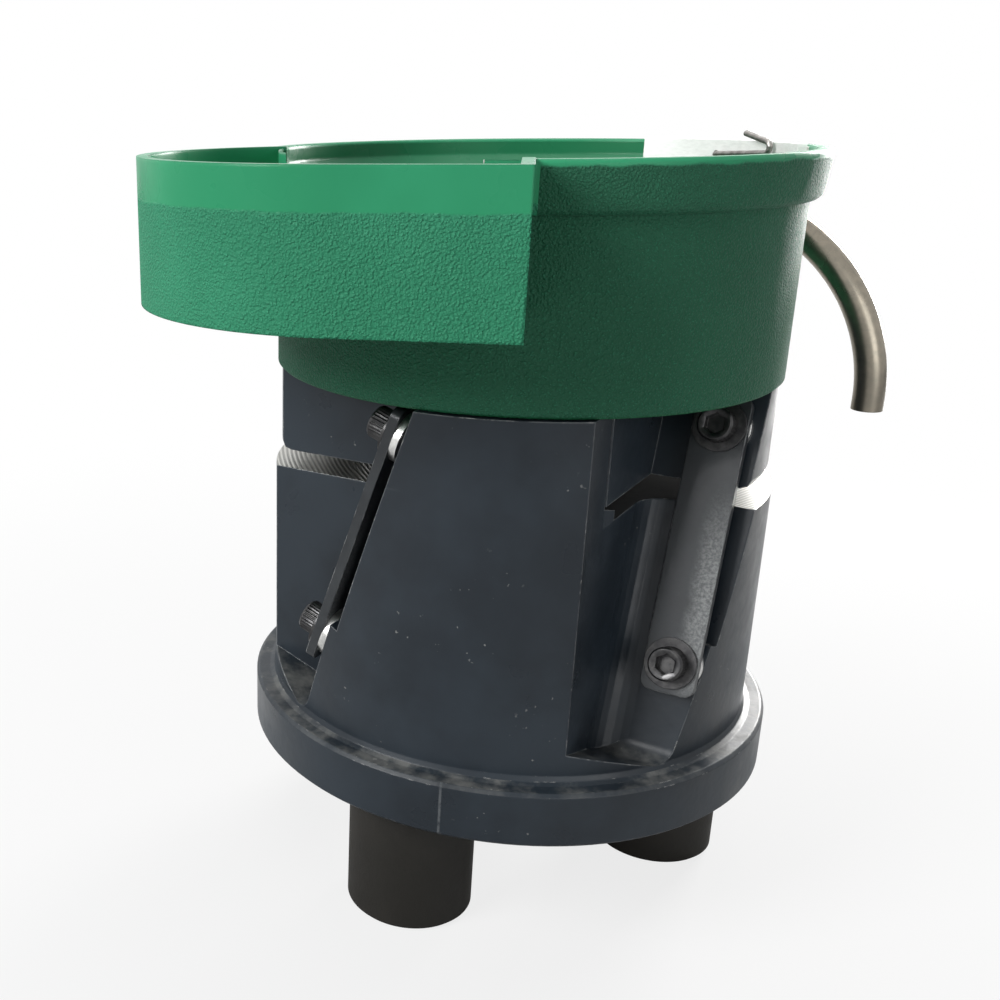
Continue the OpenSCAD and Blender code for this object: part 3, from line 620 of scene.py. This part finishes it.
# ---- Studio --------------------------------------------------------------------------------

CAMERA_PLACE = (0, -0.392, 0.24898)
CAMERA_YAW, CAMERA_PITCH, CAMERA_ROLL = -0.2375, 0.3299, -0.0112
CAMERA_SHIFT = (0.2651, 0.0139)     # the photo is an off-centre crop
FOCAL_LENGTH, SENSOR_WIDTH = 43.333, 36
ROOM_COLOR, ROOM_STRENGTH = (0.62, 0.66, 0.70, 1), 0.16
FLOOR_HALF = 3.0
FLOOR_GREY = (0.5, 0.5, 0.5)
FLOOR_FADE = (0.10, 0.55, 0.80, 1.0)    # from and to distances, then from and to whiteness


def place_camera(scene):
    camera = bpy.data.cameras.new("camera")
    camera.sensor_width = SENSOR_WIDTH
    camera.lens = FOCAL_LENGTH
    camera.shift_x, camera.shift_y = CAMERA_SHIFT
    camera.clip_start = 0.01
    rig = bpy.data.objects.new("camera", camera)
    scene.collection.objects.link(rig)
    flat = math.cos(CAMERA_PITCH)
    ahead = Vector((math.sin(CAMERA_YAW) * flat, math.cos(CAMERA_YAW) * flat,
                    -math.sin(CAMERA_PITCH)))
    right = Vector((math.cos(CAMERA_YAW), -math.sin(CAMERA_YAW), 0))
    over = right.cross(ahead)
    c, s = math.cos(CAMERA_ROLL), math.sin(CAMERA_ROLL)
    right, over = right * c + over * s, over * c - right * s
    turn = Matrix((right, over, -ahead)).transposed().to_4x4()
    rig.matrix_world = Matrix.Translation(CAMERA_PLACE) @ turn
    scene.camera = rig


def light_room(scene):
    """A dim room for the object's light; white for camera, transmission and glossy rays."""
    world = bpy.data.worlds.new("studio")
    scene.world = world
    world.use_nodes = True
    nodes, links = world.node_tree.nodes, world.node_tree.links
    room = nodes["Background"]
    room.inputs["Color"].default_value = ROOM_COLOR
    room.inputs["Strength"].default_value = ROOM_STRENGTH
    white = nodes.new("ShaderNodeBackground")
    white.inputs["Color"].default_value = (1, 1, 1, 1)
    white.inputs["Strength"].default_value = 1.0
    rays = nodes.new("ShaderNodeLightPath")
    shown = rays.outputs["Is Camera Ray"]
    for kind in ("Is Transmission Ray", "Is Glossy Ray"):
        either = nodes.new("ShaderNodeMath")
        either.operation = "MAXIMUM"
        links.new(shown, either.inputs[0])
        links.new(rays.outputs[kind], either.inputs[1])
        shown = either.outputs[0]
    mix = nodes.new("ShaderNodeMixShader")
    links.new(shown, mix.inputs[0])
    links.new(room.outputs[0], mix.inputs[1])
    links.new(white.outputs[0], mix.inputs[2])
    links.new(mix.outputs[0], nodes["World Output"].inputs["Surface"])


def lamp(scene, name, place, aim, size, power, color=(1, 1, 1)):
    data = bpy.data.lights.new(name, "AREA")
    data.shape = "RECTANGLE"
    data.size, data.size_y = size
    data.energy = power
    data.color = color
    obj = bpy.data.objects.new(name, data)
    scene.collection.objects.link(obj)
    obj.location = place
    obj.rotation_euler = (Vector(aim) - Vector(place)).to_track_quat("-Z", "Y").to_euler()


def paper():
    """Grey paper that takes shadows, fading to white for the camera away from the object."""
    m = Mat("floor")
    m.finish(FLOOR_GREY, 0.9)
    glow = m.add("ShaderNodeEmission")
    glow.inputs["Strength"].default_value = 1.0
    away = m.add("ShaderNodeVectorMath", operation="LENGTH")
    m.link(m.place, away.inputs[0])
    rays = m.add("ShaderNodeLightPath")
    white = m.times(rays.outputs["Is Camera Ray"], m.ramp(away.outputs["Value"], *FLOOR_FADE))
    mix = m.add("ShaderNodeMixShader")
    m.link(white, mix.inputs[0])
    m.link(m.shader.outputs[0], mix.inputs[1])
    m.link(glow.outputs[0], mix.inputs[2])
    m.link(mix.outputs[0], m.tree.nodes["Material Output"].inputs["Surface"])
    return m.material


def lay_floor(scene):
    floor = bpy.data.meshes.new("floor")
    corners = [(x * FLOOR_HALF, y * FLOOR_HALF, 0) for x, y in ((-1, -1), (1, -1), (1, 1), (-1, 1))]
    floor.from_pydata(corners, [], [(0, 1, 2, 3)])
    floor.materials.append(paper())
    ground = bpy.data.objects.new("floor", floor)
    scene.collection.objects.link(ground)


def studio():
    scene = bpy.context.scene
    scene.view_settings.view_transform = "Standard"
    place_camera(scene)
    light_room(scene)
    lamp(scene, "key", (-0.78, -0.70, 0.75), (-0.02, -0.05, 0.16), (0.5, 0.5), 14.0)
    lamp(scene, "window", (0.50, 0.95, 0.36), (0.05, 0, 0.13), (0.35, 0.6), 20, (1.0, 0.99, 0.97))
    lamp(scene, "fill", (0.60, -0.85, 0.35), (0.03, -0.05, 0.10), (0.6, 0.5), 2.4)
    lamp(scene, "sky", (-0.1, 0.25, 1.1), (0, 0, 0.2), (0.8, 0.8), 5.5)
    lay_floor(scene)


# ---- Put together --------------------------------------------------------------------------

dress_nodes()
spring_screws("lower_screws", LOWER_SCREW, "base", "lower_spring_screws")
spring_screws("upper_screws", UPPER_SCREW, "top", "upper_spring_screws")
studio()
